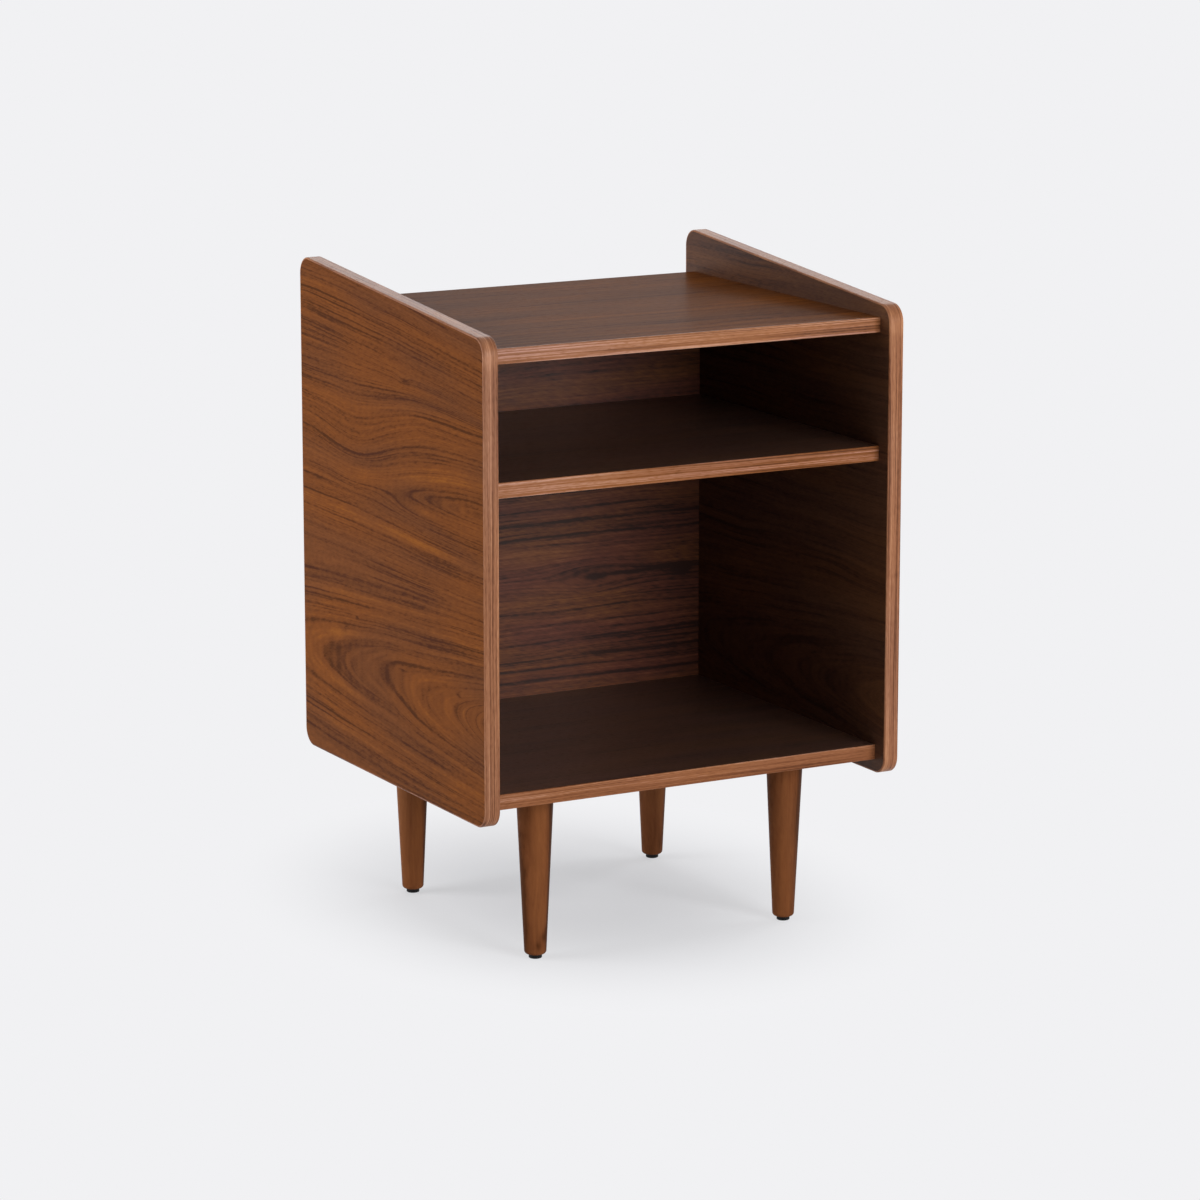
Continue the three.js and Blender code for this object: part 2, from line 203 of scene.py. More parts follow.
# Wood. Places are given along the grain, across it and, where there is a third number, into the board.
# Every size is in millimetres.
intoBoard = {
    # how far the cells of each pattern run into the board, which shows on rounded edges and turned legs
    "sway": 60.0, "ripple": 30.0, "stripes": 90.0, "fibres": 5.0, "hatch": 5.0,
}
ownShift = {
    # sets the noises of one cut apart, so that no two of them have the same cells
    "strength": 4.9, "wear": 8.3, "hatch": 6.1, "pores": 3.1, "clouds": 1.7,
}


def grainPlace(tree, axes):
    place = addNode(tree, "TexCoord").outputs["Object"]
    scaled = addNode(tree, "VectorMath", {0: place, "Scale": 1 / mm}, operation="SCALE")
    split = addNode(tree, "SeparateXYZ", {0: scaled})
    return [split.outputs[axis] for axis in axes]


def noiseAt(tree, place, cells, shift):
    # smooth noise whose cells have these sizes
    shares = [addNode(tree, "Math", {0: value, 1: 1 / size, 2: shift}, operation="MULTIPLY_ADD")
              for value, size in zip(place, cells)]
    joined = addNode(tree, "CombineXYZ", dict(enumerate(shares)))
    return addNode(tree, "TexNoise", {"Vector": joined, "Scale": 1.0, "Detail": 0.0}).outputs["Fac"]


def patches(tree, place, zone, shift):
    # noise between a low and a high value, stretched to run from the least to the most
    noise = noiseAt(tree, place, zone["cells"], shift)
    return addNode(tree, "MapRange", {
        "Value": noise, "From Min": zone["low"], "From Max": zone["high"],
        "To Min": zone["least"], "To Max": zone["most"],
    })


def swing(tree, noise, base, amount):
    # adds the noise to a value, from -amount to amount
    offset = addNode(tree, "Math", {0: noise, 1: 2 * amount, 2: -amount}, operation="MULTIPLY_ADD")
    return addNode(tree, "Math", {0: base, 1: offset}, operation="ADD")


def bell(tree, distance, width):
    # 1 at no distance, falling away over the width
    share = addNode(tree, "Math", {0: distance, 1: 1 / width}, operation="MULTIPLY")
    square = addNode(tree, "Math", {0: share, 1: share}, operation="MULTIPLY")
    negative = addNode(tree, "Math", {0: square, 1: -1.0}, operation="MULTIPLY")
    return addNode(tree, "Math", {0: negative}, operation="EXPONENT")


def spot(tree, place, mark):
    # 1 at the mark, falling away over its reach each way
    shares = []
    for value, centre, reach in zip(place, mark["at"], mark["reach"]):
        away = addNode(tree, "Math", {0: value, 1: centre}, operation="SUBTRACT")
        shares.append(bell(tree, away, reach))
    total = shares[0]
    for share in shares[1:]:
        total = addNode(tree, "Math", {0: total, 1: share}, operation="MULTIPLY")
    return total


def sinkAbove(tree, field, along, across, slip):
    # the lines above this zone sink steadily from one end of the face to the other
    share = addNode(tree, "MapRange", {"Value": along, "From Min": slip["start"], "From Max": slip["end"]})
    share = addNode(tree, "Math", {0: share, 1: slip["power"]}, operation="POWER")
    edge = addNode(tree, "Math", {0: share, 1: slip["lift"], 2: across}, operation="MULTIPLY_ADD")
    inside = addNode(tree, "MapRange", {"Value": edge, "From Min": slip["low"], "From Max": slip["high"]},
                     interpolation_type="SMOOTHSTEP")
    push = addNode(tree, "Math", {0: share, 1: inside}, operation="MULTIPLY")
    return addNode(tree, "Math", {0: push, 1: slip["drop"], 2: field}, operation="MULTIPLY_ADD")


def fanOut(tree, field, along, across, crown):
    # the lines fan out from a tip, and the innermost close round it
    away = addNode(tree, "Math", {0: across, 1: crown["across"]}, operation="SUBTRACT")
    share = addNode(tree, "MapRange", {"Value": along, "From Min": crown["tip"], "From Max": crown["open"]},
                    interpolation_type="SMOOTHSTEP")
    steep = addNode(tree, "Math", {0: away, 1: 1 / crown["width"]}, operation="MULTIPLY")
    fan = addNode(tree, "Math", {0: steep}, operation="TANH")
    middle = addNode(tree, "Math", {0: across, 1: crown["reachMiddle"]}, operation="SUBTRACT")
    reach = addNode(tree, "Math", {0: bell(tree, middle, crown["reach"]), 1: -crown["spread"]},
                    operation="MULTIPLY")
    push = addNode(tree, "Math", {0: fan, 1: reach}, operation="MULTIPLY")
    field = addNode(tree, "Math", {0: push, 1: share, 2: field}, operation="MULTIPLY_ADD")
    ridge = addNode(tree, "MapRange", {
        "Value": along, "From Min": crown["ridgeTip"], "From Max": crown["ridgeFull"],
        "To Max": crown["ridge"],
    }, interpolation_type="SMOOTHSTEP")
    return addNode(tree, "Math", {0: bell(tree, away, crown["ridgeWidth"]), 1: ridge, 2: field},
                   operation="MULTIPLY_ADD")


def archOver(tree, field, along, heart):
    # the leaf was cut close over the heart of the log, so the rings close round it in long arches
    away = addNode(tree, "Math", {0: field, 1: heart["across"]}, operation="SUBTRACT")
    square = addNode(tree, "Math", {0: away, 1: away}, operation="MULTIPLY")
    arch = addNode(tree, "MapRange", {
        "Value": along, "From Min": heart["open"], "From Max": heart["closed"],
        "To Min": heart["nose"], "To Max": heart["nose"] + heart["rise"],
    })
    fade = addNode(tree, "MapRange", {
        "Value": square, "From Min": heart["flatFrom"] ** 2, "From Max": heart["flatTo"] ** 2,
        "To Min": 1.0, "To Max": 0.0,
    }, interpolation_type="SMOOTHSTEP")
    total = addNode(tree, "Math", {0: arch, 1: fade, 2: square}, operation="MULTIPLY_ADD")
    return addNode(tree, "Math", {0: total}, operation="SQRT")


def growthField(tree, place, cut):
    # lines of equal value of this field run as the growth rings do on the face
    along, across = place[:2]
    swayCells = (cut["swayLength"], cut["swayWidth"], intoBoard["sway"])
    rippleCells = (cut["rippleLength"], cut["rippleWidth"], intoBoard["ripple"])
    field = swing(tree, noiseAt(tree, place, swayCells, cut["shift"]), across, cut["swayBy"])
    field = swing(tree, noiseAt(tree, place, rippleCells, cut["shift"]), field, cut["rippleBy"])
    for bend in cut.get("bends", []):
        # the lines step aside here, towards lower values of across where the push is above zero
        field = addNode(tree, "Math", {0: spot(tree, place, bend), 1: bend["push"], 2: field},
                        operation="MULTIPLY_ADD")
    for slip in cut.get("slips", []):
        field = sinkAbove(tree, field, along, across, slip)
    for crown in cut.get("crowns", []):
        field = fanOut(tree, field, along, across, crown)
    for heart in cut.get("hearts", []):
        field = archOver(tree, field, along, heart)
    return field


def ringTone(tree, place, field, cut):
    # soft stripes, the growth lines over them, and rings that are darker or paler than the rest
    along, across, depth = place
    grain = (field, along, depth)
    shift, tone = cut["shift"], cut["tone"]
    for width, length, amount in cut["stripes"]:
        stripe = noiseAt(tree, grain, (width, length, intoBoard["stripes"]), shift + width)
        tone = swing(tree, stripe, tone, amount)
    strength = patches(tree, place, cut["strength"], shift + ownShift["strength"])
    wear = patches(tree, place, cut["wear"], shift + ownShift["wear"])
    for calm in cut.get("calms", []):
        # lines and rings grow fainter from one place on the face to another
        fade = addNode(tree, "MapRange", {
            "Value": across if calm["upwards"] else along, "From Min": calm["from"], "From Max": calm["to"],
            "To Min": 1.0, "To Max": calm["share"],
        }, interpolation_type="SMOOTHSTEP")
        strength = addNode(tree, "Math", {0: strength, 1: fade}, operation="MULTIPLY")
        wear = addNode(tree, "Math", {0: wear, 1: fade}, operation="MULTIPLY")
    for width, length, dark in cut["lines"]:
        # a dark line runs where the noise peaks
        peak = noiseAt(tree, grain, (width, length, intoBoard["stripes"]), shift + 2 * width)
        line = addNode(tree, "MapRange", {
            "Value": peak, "From Min": cut["lineStart"], "From Max": cut["lineFull"],
            "To Min": 0.0, "To Max": -dark,
        }, interpolation_type="SMOOTHSTEP")
        tone = addNode(tree, "Math", {0: line, 1: strength, 2: tone}, operation="MULTIPLY_ADD")
    for value, width, dark in cut.get("rings", []):
        away = addNode(tree, "Math", {0: field, 1: value}, operation="SUBTRACT")
        ring = addNode(tree, "Math", {0: bell(tree, away, width), 1: wear}, operation="MULTIPLY")
        tone = addNode(tree, "Math", {0: ring, 1: -dark, 2: tone}, operation="MULTIPLY_ADD")
    return tone


def fineTone(tree, place, field, tone, cut):
    # short fibres, a slanting shimmer across them, and marks that are darker or paler, some of them painted
    # light and shade
    along, across, depth = place
    slant = cut["hatch"]
    fibreCells = (cut["fibreWidth"], cut["fibreLength"], intoBoard["fibres"])
    hatchCells = (slant["length"], slant["width"], intoBoard["hatch"])
    fibre = noiseAt(tree, (field, along, depth), fibreCells, cut["shift"])
    tone = swing(tree, fibre, tone, cut["fibreAmount"])
    flat = addNode(tree, "CombineXYZ", {0: along, 1: across})
    turned = addNode(tree, "VectorRotate", {"Vector": flat, "Angle": math.radians(slant["angle"])},
                     rotation_type="Z_AXIS")
    turned = addNode(tree, "SeparateXYZ", {0: turned}).outputs
    hatch = noiseAt(tree, (turned[0], turned[1], depth), hatchCells, cut["shift"] + ownShift["hatch"])
    tone = swing(tree, hatch, tone, slant["amount"])
    for mark in cut.get("marks", []):
        tone = addNode(tree, "Math", {0: spot(tree, place, mark), 1: -mark["dark"], 2: tone},
                       operation="MULTIPLY_ADD")
    return tone


def toneColour(tree, tone, warmth, cut):
    # two ranges of brown, each from dark to pale, mixed in broad clouds
    ramps = []
    for colours in (cut["colours"], cut["warmColours"]):
        ramp = addNode(tree, "ValToRGB", {0: tone})
        stops = ramp.color_ramp.elements
        while len(stops) < len(colours):
            stops.new(0.5)  # every stop gets its own place below
        for i, text in enumerate(colours):
            stops[i].position = i / (len(colours) - 1)
            stops[i].color = hexColour(text)
        ramps.append(ramp)
    return addNode(tree, "Mix", {0: warmth, 6: ramps[0], 7: ramps[1]}, data_type="RGBA").outputs[2]


def lacqueredWood(name, axes, cut):
    # Satin lacquer over an open-pored brown wood: soft stripes, fine dark pores and a low broad sheen
    material, tree = newMaterial(name)
    place = grainPlace(tree, axes)
    along, across, depth = place
    field = growthField(tree, place, cut)
    tone = fineTone(tree, place, field, ringTone(tree, place, field, cut), cut)
    pores = patches(tree, (across, along, depth), cut["pores"], cut["shift"] + ownShift["pores"])
    tone = addNode(tree, "Math", {0: pores, 1: -cut["poreDark"], 2: tone}, operation="MULTIPLY_ADD")
    warmth = patches(tree, (along, field, depth), cut["clouds"], cut["shift"] + ownShift["clouds"])
    colour = toneColour(tree, tone, warmth, cut)
    rough = addNode(tree, "Math", {0: pores, 1: cut["poreRough"], 2: cut["roughness"]},
                    operation="MULTIPLY_ADD")
    relief = addNode(tree, "Math", {0: pores, 1: -1.0, 2: tone}, operation="MULTIPLY_ADD")
    bump = addNode(tree, "Bump", {"Height": relief, "Strength": cut["bump"], "Distance": cut["relief"] * mm})
    shader = addNode(tree, "BsdfPrincipled", {
        "Base Color": colour, "Roughness": rough, "IOR": cut["ior"],
        "Specular IOR Level": cut["gloss"], "Normal": bump,
    })
    addNode(tree, "OutputMaterial", {0: shader})
    return material


walnutCut = {
    # values that the cuts of walnut share, where another shift is another place in the log
    "shift": 0.0, "tone": 0.52,
    "swayLength": 260.0, "swayWidth": 110.0, "swayBy": 16.0,
    "rippleLength": 75.0, "rippleWidth": 34.0, "rippleBy": 3.0,
    # width, length, how strong
    "stripes": [(34.0, 600.0, 0.18), (11.0, 500.0, 0.28), (4.2, 240.0, 0.28), (1.9, 80.0, 0.22),
                (2.4, 10.0, 0.22)],
    # width, length, how dark
    "lines": [(8.0, 420.0, 0.30), (4.0, 260.0, 0.26), (2.0, 120.0, 0.22)],
    "lineStart": 0.60, "lineFull": 0.72,  # values of the noise
    # how strong the lines and the single rings are, from zone to zone
    "strength": {"cells": (130.0, 34.0, 60.0), "low": 0.35, "high": 0.62, "least": 0.15, "most": 1.0},
    "wear": {"cells": (38.0, 30.0, 60.0), "low": 0.3, "high": 0.7, "least": 0.65, "most": 1.1},
    "hatch": {"angle": 22.0, "length": 11.0, "width": 1.8, "amount": 0.16},
    "fibreWidth": 1.1, "fibreLength": 30.0, "fibreAmount": 0.14,
    # real pores are 0.2 mm wide, too fine to show, so these are coarser
    "pores": {"cells": (0.9, 7.0, 3.0), "low": 0.60, "high": 0.74, "least": 0.0, "most": 1.0},
    "poreDark": 0.12, "poreRough": 0.12,
    # broad zones of the warmer colours
    "clouds": {"cells": (180.0, 40.0, 80.0), "low": 0.36, "high": 0.64, "least": 0.0, "most": 1.0},
    "colours": ["#472613", "#5f371d", "#6b3f21", "#784724"],
    "warmColours": ["#4b2711", "#683b1b", "#77441d", "#86501f"],
    "roughness": 0.42, "ior": 1.5, "gloss": 0.3, "bump": 0.25, "relief": 0.15,
}
leftCut = {
    # crown cut: long arches below, and straighter lines that fan out above them
    **walnutCut,
    "shift": 3.7, "gloss": 0.01, "swayBy": 2.5, "rippleBy": 1.2,
    "stripes": [(34.0, 500.0, 0.06), (11.0, 400.0, 0.08), (4.2, 300.0, 0.18), (1.9, 180.0, 0.26),
                (2.4, 10.0, 0.20)],
    "lines": [(5.0, 500.0, 0.12), (2.6, 400.0, 0.22), (1.5, 300.0, 0.26)],
    "hatch": {"angle": 22.0, "length": 9.0, "width": 1.8, "amount": 0.12},
    "colours": ["#4b2a1c", "#643b22", "#714326", "#7e4b29"],
    "warmColours": ["#4f2d16", "#6e3f20", "#7d4823", "#8d5525"],
    "bends": [
        {"at": (90.0, 548.0), "reach": (80.0, 40.0), "push": 16.0},
        {"at": (-80.0, 592.0), "reach": (75.0, 34.0), "push": -7.0},
        {"at": (0.0, 302.0), "reach": (62.0, 42.0), "push": -8.0},
        {"at": (-36.0, 637.0), "reach": (17.0, 8.0), "push": 7.0},
    ],
    "slips": [{"start": 227.0, "end": -227.0, "power": 1.3, "lift": 30.0, "low": 632.0, "high": 668.0,
               "drop": 42.0}],
    "crowns": [{"across": 498.0, "tip": 90.0, "open": -240.0, "width": 14.0, "spread": 27.0,
                "reachMiddle": 540.0, "reach": 85.0,
                "ridge": 17.0, "ridgeTip": 60.0, "ridgeFull": -90.0, "ridgeWidth": 12.0}],
    "hearts": [{"across": 293.0, "open": -227.0, "closed": 227.0, "nose": 60.0, "rise": 4320.0,
                "flatFrom": 85.0, "flatTo": 128.0}],
    # distance from the heart, width, and how dark, or below zero how pale
    "rings": [(38.0, 1.2, 0.16), (48.5, 1.3, 0.36), (60.5, 1.6, 0.36), (64.5, 1.0, -0.14),
              (71.5, 1.3, 0.34), (77.0, 1.1, 0.30), (84.0, 2.4, -0.22), (90.5, 1.2, 0.34),
              (94.5, 0.9, 0.24), (99.0, 2.6, -0.24), (104.5, 1.2, 0.36), (112.0, 1.2, 0.30),
              (159.0, 1.0, 0.22), (165.5, 1.6, 0.36), (175.0, 4.0, -0.30), (184.0, 1.3, 0.34),
              (202.0, 1.8, 0.28), (212.0, 1.1, 0.30), (217.0, 1.1, 0.34), (232.0, 7.0, -0.20),
              (253.0, 0.9, 0.22), (259.0, 1.5, 0.42), (275.5, 1.2, 0.26), (283.0, 1.1, 0.24),
              (293.5, 1.2, 0.24), (304.0, 4.0, -0.14), (314.5, 1.3, 0.34), (323.0, 1.0, 0.22),
              (360.5, 1.1, 0.24), (379.0, 1.8, 0.26), (393.0, 1.3, 0.24), (399.0, 1.6, 0.30),
              (410.0, 1.0, 0.26), (416.0, 1.0, 0.28), (423.0, 3.0, -0.18), (430.0, 1.4, 0.28)],
    "marks": [
        {"at": (-42.0, 636.0), "reach": (9.0, 2.4), "dark": 0.42},
        {"at": (87.0, 349.5), "reach": (4.0, 1.2), "dark": 0.6},
        {"at": (6.0, 298.0), "reach": (8.0, 9.0), "dark": 0.26},
        {"at": (148.0, 291.0), "reach": (9.0, 14.0), "dark": -0.22},
        {"at": (-28.0, 312.0), "reach": (10.0, 1.4), "dark": 0.35},
        {"at": (-166.0, 311.0), "reach": (6.0, 2.0), "dark": 0.6},
        {"at": (185.0, 494.0), "reach": (14.0, 2.2), "dark": 0.25},
        {"at": (140.0, 325.0), "reach": (12.0, 14.0), "dark": -0.24},
        {"at": (118.0, 332.0), "reach": (5.0, 9.0), "dark": 0.16},
        {"at": (-215.0, 505.0), "reach": (60.0, 18.0), "dark": -0.20},
        {"at": (0.0, 680.0), "reach": (500.0, 70.0), "dark": 0.07},
    ],
}
rightCut = {
    # another leaf of the same log, cut close to its heart at another height
    **leftCut,
    "shift": 31.3, "gloss": 0.06, "swayBy": 5.0, "slips": [], "crowns": [],
    "bends": [
        {"at": (-60.0, 610.0), "reach": (90.0, 40.0), "push": -14.0},
        {"at": (100.0, 250.0), "reach": (80.0, 36.0), "push": 9.0},
    ],
    "hearts": [{"across": 392.0, "open": -227.0, "closed": 227.0, "nose": 60.0, "rise": 5200.0,
                "flatFrom": 90.0, "flatTo": 138.0}],
    "marks": [{"at": (-20.0, 391.0), "reach": (10.0, 9.0), "dark": 0.24}],
}
shadedInnerCut = {
    # the leaves inside are duller, and darker than those outside as painted shade of the inside
    **walnutCut,
    "shift": 47.6, "swayBy": 5.0, "gloss": 0.12,
    "bends": [{"at": (-60.0, 400.0), "reach": (120.0, 40.0), "push": -8.0}],
    "hearts": [{"across": 262.0, "open": -227.0, "closed": 227.0, "nose": 60.0, "rise": 4320.0,
                "flatFrom": 80.0, "flatTo": 124.0}],
    # paler towards the front edge as painted light, and paler in a patch high up
    "marks": [{"at": (-227.0, 400.0), "reach": (110.0, 500.0), "dark": -0.37},
              {"at": (-90.0, 640.0), "reach": (110.0, 60.0), "dark": -0.22}],
    "colours": ["#37231c", "#4b3025", "#563929", "#61412f"],
    "warmColours": ["#3a241b", "#523323", "#5e3c27", "#6a452c"],
}
boardCut = {
    # a straight leaf with hardly a shine
    **walnutCut,
    "shift": 11.2, "swayBy": 9.0, "roughness": 0.3, "gloss": 0.003,
}
rearCut = {
    # a plain leaf with few rings
    **leftCut,
    "shift": 17.6, "gloss": 0.1, "swayBy": 9.0,
    "bends": [], "slips": [], "crowns": [], "hearts": [], "marks": [],
    "rings": [(230.0, 2.0, 0.3), (318.0, 1.6, 0.3), (452.0, 2.2, 0.35), (590.0, 1.8, 0.3)],
}
shadedShelfCut = {
    # darker and greyer still, as painted shade of the inside, with little figure and the most shine
    **shadedInnerCut,
    "shift": 14.8, "swayBy": 9.0, "roughness": 0.32, "gloss": 0.5,
    "hearts": [], "bends": [], "marks": [],
    "colours": ["#33231f", "#473129", "#533930", "#5f4338"],
    "warmColours": ["#35241c", "#4b3327", "#573b2d", "#644635"],
}
backCut = {
    # a wavy leaf with strong dark rings, which part round a paler eye
    **walnutCut,
    "shift": 23.9, "swayBy": 3.5, "swayWidth": 60.0, "rippleBy": 1.6, "roughness": 0.40, "gloss": 0.24,
    "stripes": [(34.0, 600.0, 0.14), (11.0, 500.0, 0.17), (4.2, 240.0, 0.26), (1.9, 80.0, 0.28),
                (2.4, 10.0, 0.22)],
    "bends": [
        # above the eye and below it
        {"at": (95.0, 354.0), "reach": (55.0, 12.0), "push": -9.0},
        {"at": (95.0, 328.0), "reach": (55.0, 12.0), "push": 9.0},
    ],
    # fainter rings above the shelf, and towards the left
    "calms": [{"upwards": True, "from": 500.0, "to": 580.0, "share": 0.2},
              {"upwards": False, "from": 60.0, "to": -200.0, "share": 0.5}],
    "rings": [(222.0, 2.0, 0.50), (236.0, 1.4, 0.40), (248.0, 2.0, 0.55), (270.0, 1.8, 0.55),
              (289.0, 1.3, 0.30), (305.0, 1.5, 0.50), (318.0, 4.0, -0.22), (336.5, 1.3, 0.20),
              (345.5, 1.4, 0.30), (372.0, 7.0, -0.26), (382.0, 1.1, 0.25), (392.0, 1.9, 0.65),
              (410.0, 2.4, 0.55), (426.0, 2.0, 0.50), (447.0, 1.6, 0.40), (468.0, 2.2, 0.50),
              (496.0, 1.8, 0.40), (560.0, 1.6, 0.35), (584.0, 2.0, 0.45), (612.0, 1.8, 0.40),
              (641.0, 2.2, 0.45)],
    "marks": [
        {"at": (74.0, 341.0), "reach": (40.0, 9.0), "dark": -0.22},
        {"at": (101.0, 341.0), "reach": (12.0, 3.8), "dark": 1.00},
        {"at": (146.0, 342.0), "reach": (36.0, 2.2), "dark": 0.60},
        {"at": (218.0, 340.0), "reach": (12.0, 7.5), "dark": 0.85},
        {"at": (-130.0, 298.0), "reach": (18.0, 3.5), "dark": 0.60},
    ],
    "colours": ["#2e1814", "#512c21", "#653729", "#794633"],
    "warmColours": ["#311a11", "#593220", "#704225", "#85522d"],
}

sideVeneers = {
    "left": lacqueredWood("crownCutWalnutLeft", (1, 2, 0), leftCut),
    "right": lacqueredWood("crownCutWalnutRight", (1, 2, 0), rightCut),
}
shadedInnerVeneer = lacqueredWood("shadedInnerWalnutLeaf", (1, 2, 0), shadedInnerCut)
boardVeneer = lacqueredWood("straightWalnutVeneer", (0, 1, 2), boardCut)
rearVeneer = lacqueredWood("plainWalnutLeaf", (0, 2, 1), rearCut)
shadedShelfVeneer = lacqueredWood("shadedDullWalnutVeneer", (0, 1, 2), shadedShelfCut)
backVeneer = lacqueredWood("wavyWalnutVeneer", (0, 2, 1), backCut)

bandCut = {
    # edging veneer: paler than the faces, in fine straight stripes
    **walnutCut,
    "shift": 5.1, "swayBy": 1.2, "swayWidth": 30.0, "rippleBy": 0.5,
    "stripes": [(6.0, 300.0, 0.12), (2.8, 300.0, 0.18), (1.5, 300.0, 0.36), (1.0, 140.0, 0.32),
                (1.6, 7.0, 0.12)],
    "lines": [(2.8, 300.0, 0.22), (1.4, 240.0, 0.40)],
    "hatch": {"angle": 3.0, "length": 10.0, "width": 1.1, "amount": 0.07},
    "marks": [
        # painted highlights just under the rounded corners at the front; paler low down, and darker below
        # the left corner
        {"at": (685.0, -251.0), "reach": (10.0, 30.0), "dark": -0.24},
        {"at": (685.0, 251.0), "reach": (10.0, 30.0), "dark": -0.24},
        {"at": (640.0, -251.0), "reach": (50.0, 12.0), "dark": 0.10},
        {"at": (220.0, 0.0), "reach": (150.0, 600.0), "dark": -0.08},
        # painted shade along the outer arris underneath, which faces down, and at its front corners
        {"at": (176.0, -259.6, 0.0), "reach": (2.4, 2.0, 600.0), "dark": 0.45},
        {"at": (176.0, 259.6, 0.0), "reach": (2.4, 2.0, 600.0), "dark": 0.45},
        {"at": (182.0, -259.6, -221.0), "reach": (5.0, 2.0, 5.0), "dark": 0.4},
        {"at": (182.0, 259.6, -221.0), "reach": (5.0, 2.0, 5.0), "dark": 0.4},
    ],
    "fibreWidth": 0.8, "fibreLength": 20.0, "fibreAmount": 0.16,
    "colours": ["#5f3824", "#88573d", "#9e6b4d", "#bb8567"],
    "warmColours": ["#633922", "#8d5a3d", "#a6704e", "#c18b67"],
    "roughness": 0.38, "gloss": 0.12,
}
sideBandWood = lacqueredWood("stripedWalnutEdging", (2, 0, 1), bandCut)
panelBandCut = {
    **bandCut,
    "shift": 9.4,
    "stripes": [(6.0, 400.0, 0.20), (2.8, 400.0, 0.28), (1.5, 400.0, 0.38), (1.0, 200.0, 0.34),
                (1.6, 7.0, 0.07)],
    "lines": [(2.8, 400.0, 0.28), (1.4, 320.0, 0.44)],
    "hatch": {"angle": 2.0, "length": 10.0, "width": 1.1, "amount": 0.05},
    "fibreAmount": 0.11, "gloss": 0.17,
    "colours": ["#512d1a", "#7b4a2b", "#966144", "#bd8c7b"],
    "warmColours": ["#552e17", "#834e2a", "#9f6740", "#c39075"],
    "marks": [
        # painted sheen: the edgings are paler towards the left, the upper ones most, and darker at the right
        # end of the shelf's edging
        {"at": (-100.0, 683.0), "reach": (260.0, 30.0), "dark": -0.30},
        {"at": (-160.0, 540.0), "reach": (250.0, 30.0), "dark": -0.19},
        {"at": (-200.0, 198.0), "reach": (150.0, 30.0), "dark": -0.12},
        {"at": (242.0, 540.0), "reach": (110.0, 30.0), "dark": 0.08},
    ],
}
panelBandCuts = {
    # three strips of one roll: the upper one is pinker, the lower one plainer
    "top": panelBandCut,
    "shelf": {
        **panelBandCut,
        "gloss": 0.09,
        "colours": ["#5f351b", "#834e29", "#9a6549", "#c1907e"],
        "warmColours": ["#633618", "#8a5127", "#a26b45", "#c79478"],
    },
    "bottom": {
        **panelBandCut,
        "stripes": [(6.0, 400.0, 0.15), (2.8, 400.0, 0.19), (1.5, 400.0, 0.26), (1.0, 200.0, 0.25),
                    (1.6, 7.0, 0.07)],
        "lines": [(2.8, 400.0, 0.14), (1.4, 320.0, 0.26)],
        "gloss": 0.09,
        "colours": ["#532e1a", "#7d4b2e", "#9a6341", "#c18e74"],
        "warmColours": ["#572f17", "#854f2d", "#a3693d", "#c7926e"],
    },
}
panelBandWoods = {name: lacqueredWood("stripedEdging" + name.title(), (0, 2, 1), cut)
                  for name, cut in panelBandCuts.items()}

legCut = {
    # solid wood, turned and stained: soft stripes down the leg and few pores
    **walnutCut,
    "shift": 8.8, "swayBy": 6.0,
    "stripes": [(14.0, 300.0, 0.26), (5.0, 120.0, 0.14), (2.0, 30.0, 0.10)],
    "lines": [(7.0, 200.0, 0.16)],
    "hatch": {"angle": 14.0, "length": 12.0, "width": 2.2, "amount": 0.06},
    "fibreWidth": 1.1, "fibreLength": 30.0, "fibreAmount": 0.07,
    "poreDark": 0.06,
    "marks": [
        # painted shade down the right flank of the left legs, and down both flanks of the right legs
        {"at": (80.0, -146.5), "reach": (400.0, 5.5), "dark": 0.80},
        {"at": (40.0, 142.0), "reach": (120.0, 9.0), "dark": 0.20},
        {"at": (80.0, 171.0), "reach": (400.0, 5.0), "dark": 0.52},
        # a dark streak near the foot of the front left leg, and painted shade down its left flank
        {"at": (34.0, -150.0, -158.0), "reach": (5.0, 5.0, 8.0), "dark": 0.40},
        {"at": (26.0, -155.0, -160.0), "reach": (6.0, 5.0, 8.0), "dark": 0.45},
        {"at": (16.0, -161.0, -161.0), "reach": (6.0, 6.0, 8.0), "dark": 0.35},
        {"at": (50.0, -176.0, -146.0), "reach": (75.0, 9.0, 11.0), "dark": 1.0},
        # painted light and shade on the rear legs: paler zones on both, and darker low down on the right one
        {"at": (95.0, -156.0, 152.0), "reach": (35.0, 10.0, 25.0), "dark": -0.26},
        {"at": (95.0, 159.0, 156.0), "reach": (35.0, 14.0, 25.0), "dark": -0.18},
        {"at": (25.0, 159.0, 156.0), "reach": (30.0, 14.0, 25.0), "dark": 0.22},
    ],
    "colours": ["#492a18", "#6b4027", "#7c4e30", "#8f5c3a"],
    "warmColours": ["#4e2b15", "#744427", "#87522f", "#996136"],
    "roughness": 0.38, "gloss": 0.02,
}
legWoodWithPaintedShade = lacqueredWood("stainedTurnedWoodWithPaintedShade", (2, 0, 1), legCut)

# Glides and hidden fittings
fittingGrit = {
    "size": 0.4,     # millimetres, coarser than the real grit, which is too fine to show
    "relief": 0.02,  # millimetres
    "bump": 0.3,
    "spread": 0.08,  # how far the roughness strays to both sides
}
fittingLooks = {
    # nylon from a fine-grained mould: black and matt
    "mouldedBlackNylon": {"colour": "#0e0d0d", "roughness": 0.6, "metallic": 0.0, "gloss": 0.15},
    # die-cast zinc under nickel: pale and warm, with a slightly clouded shine
    "nickelPlatedZinc": {"colour": "#b4b2ac", "roughness": 0.32, "metallic": 1.0, "gloss": 0.5},
    # drawn steel under zinc: blue-grey, with a soft shine
    "zincPlatedSteel": {"colour": "#96999d", "roughness": 0.34, "metallic": 1.0, "gloss": 0.5},
    # turned beech left bare: pale and dry
    "bareBeech": {"colour": "#cdaa7d", "roughness": 0.7, "metallic": 0.0, "gloss": 0.5},
}


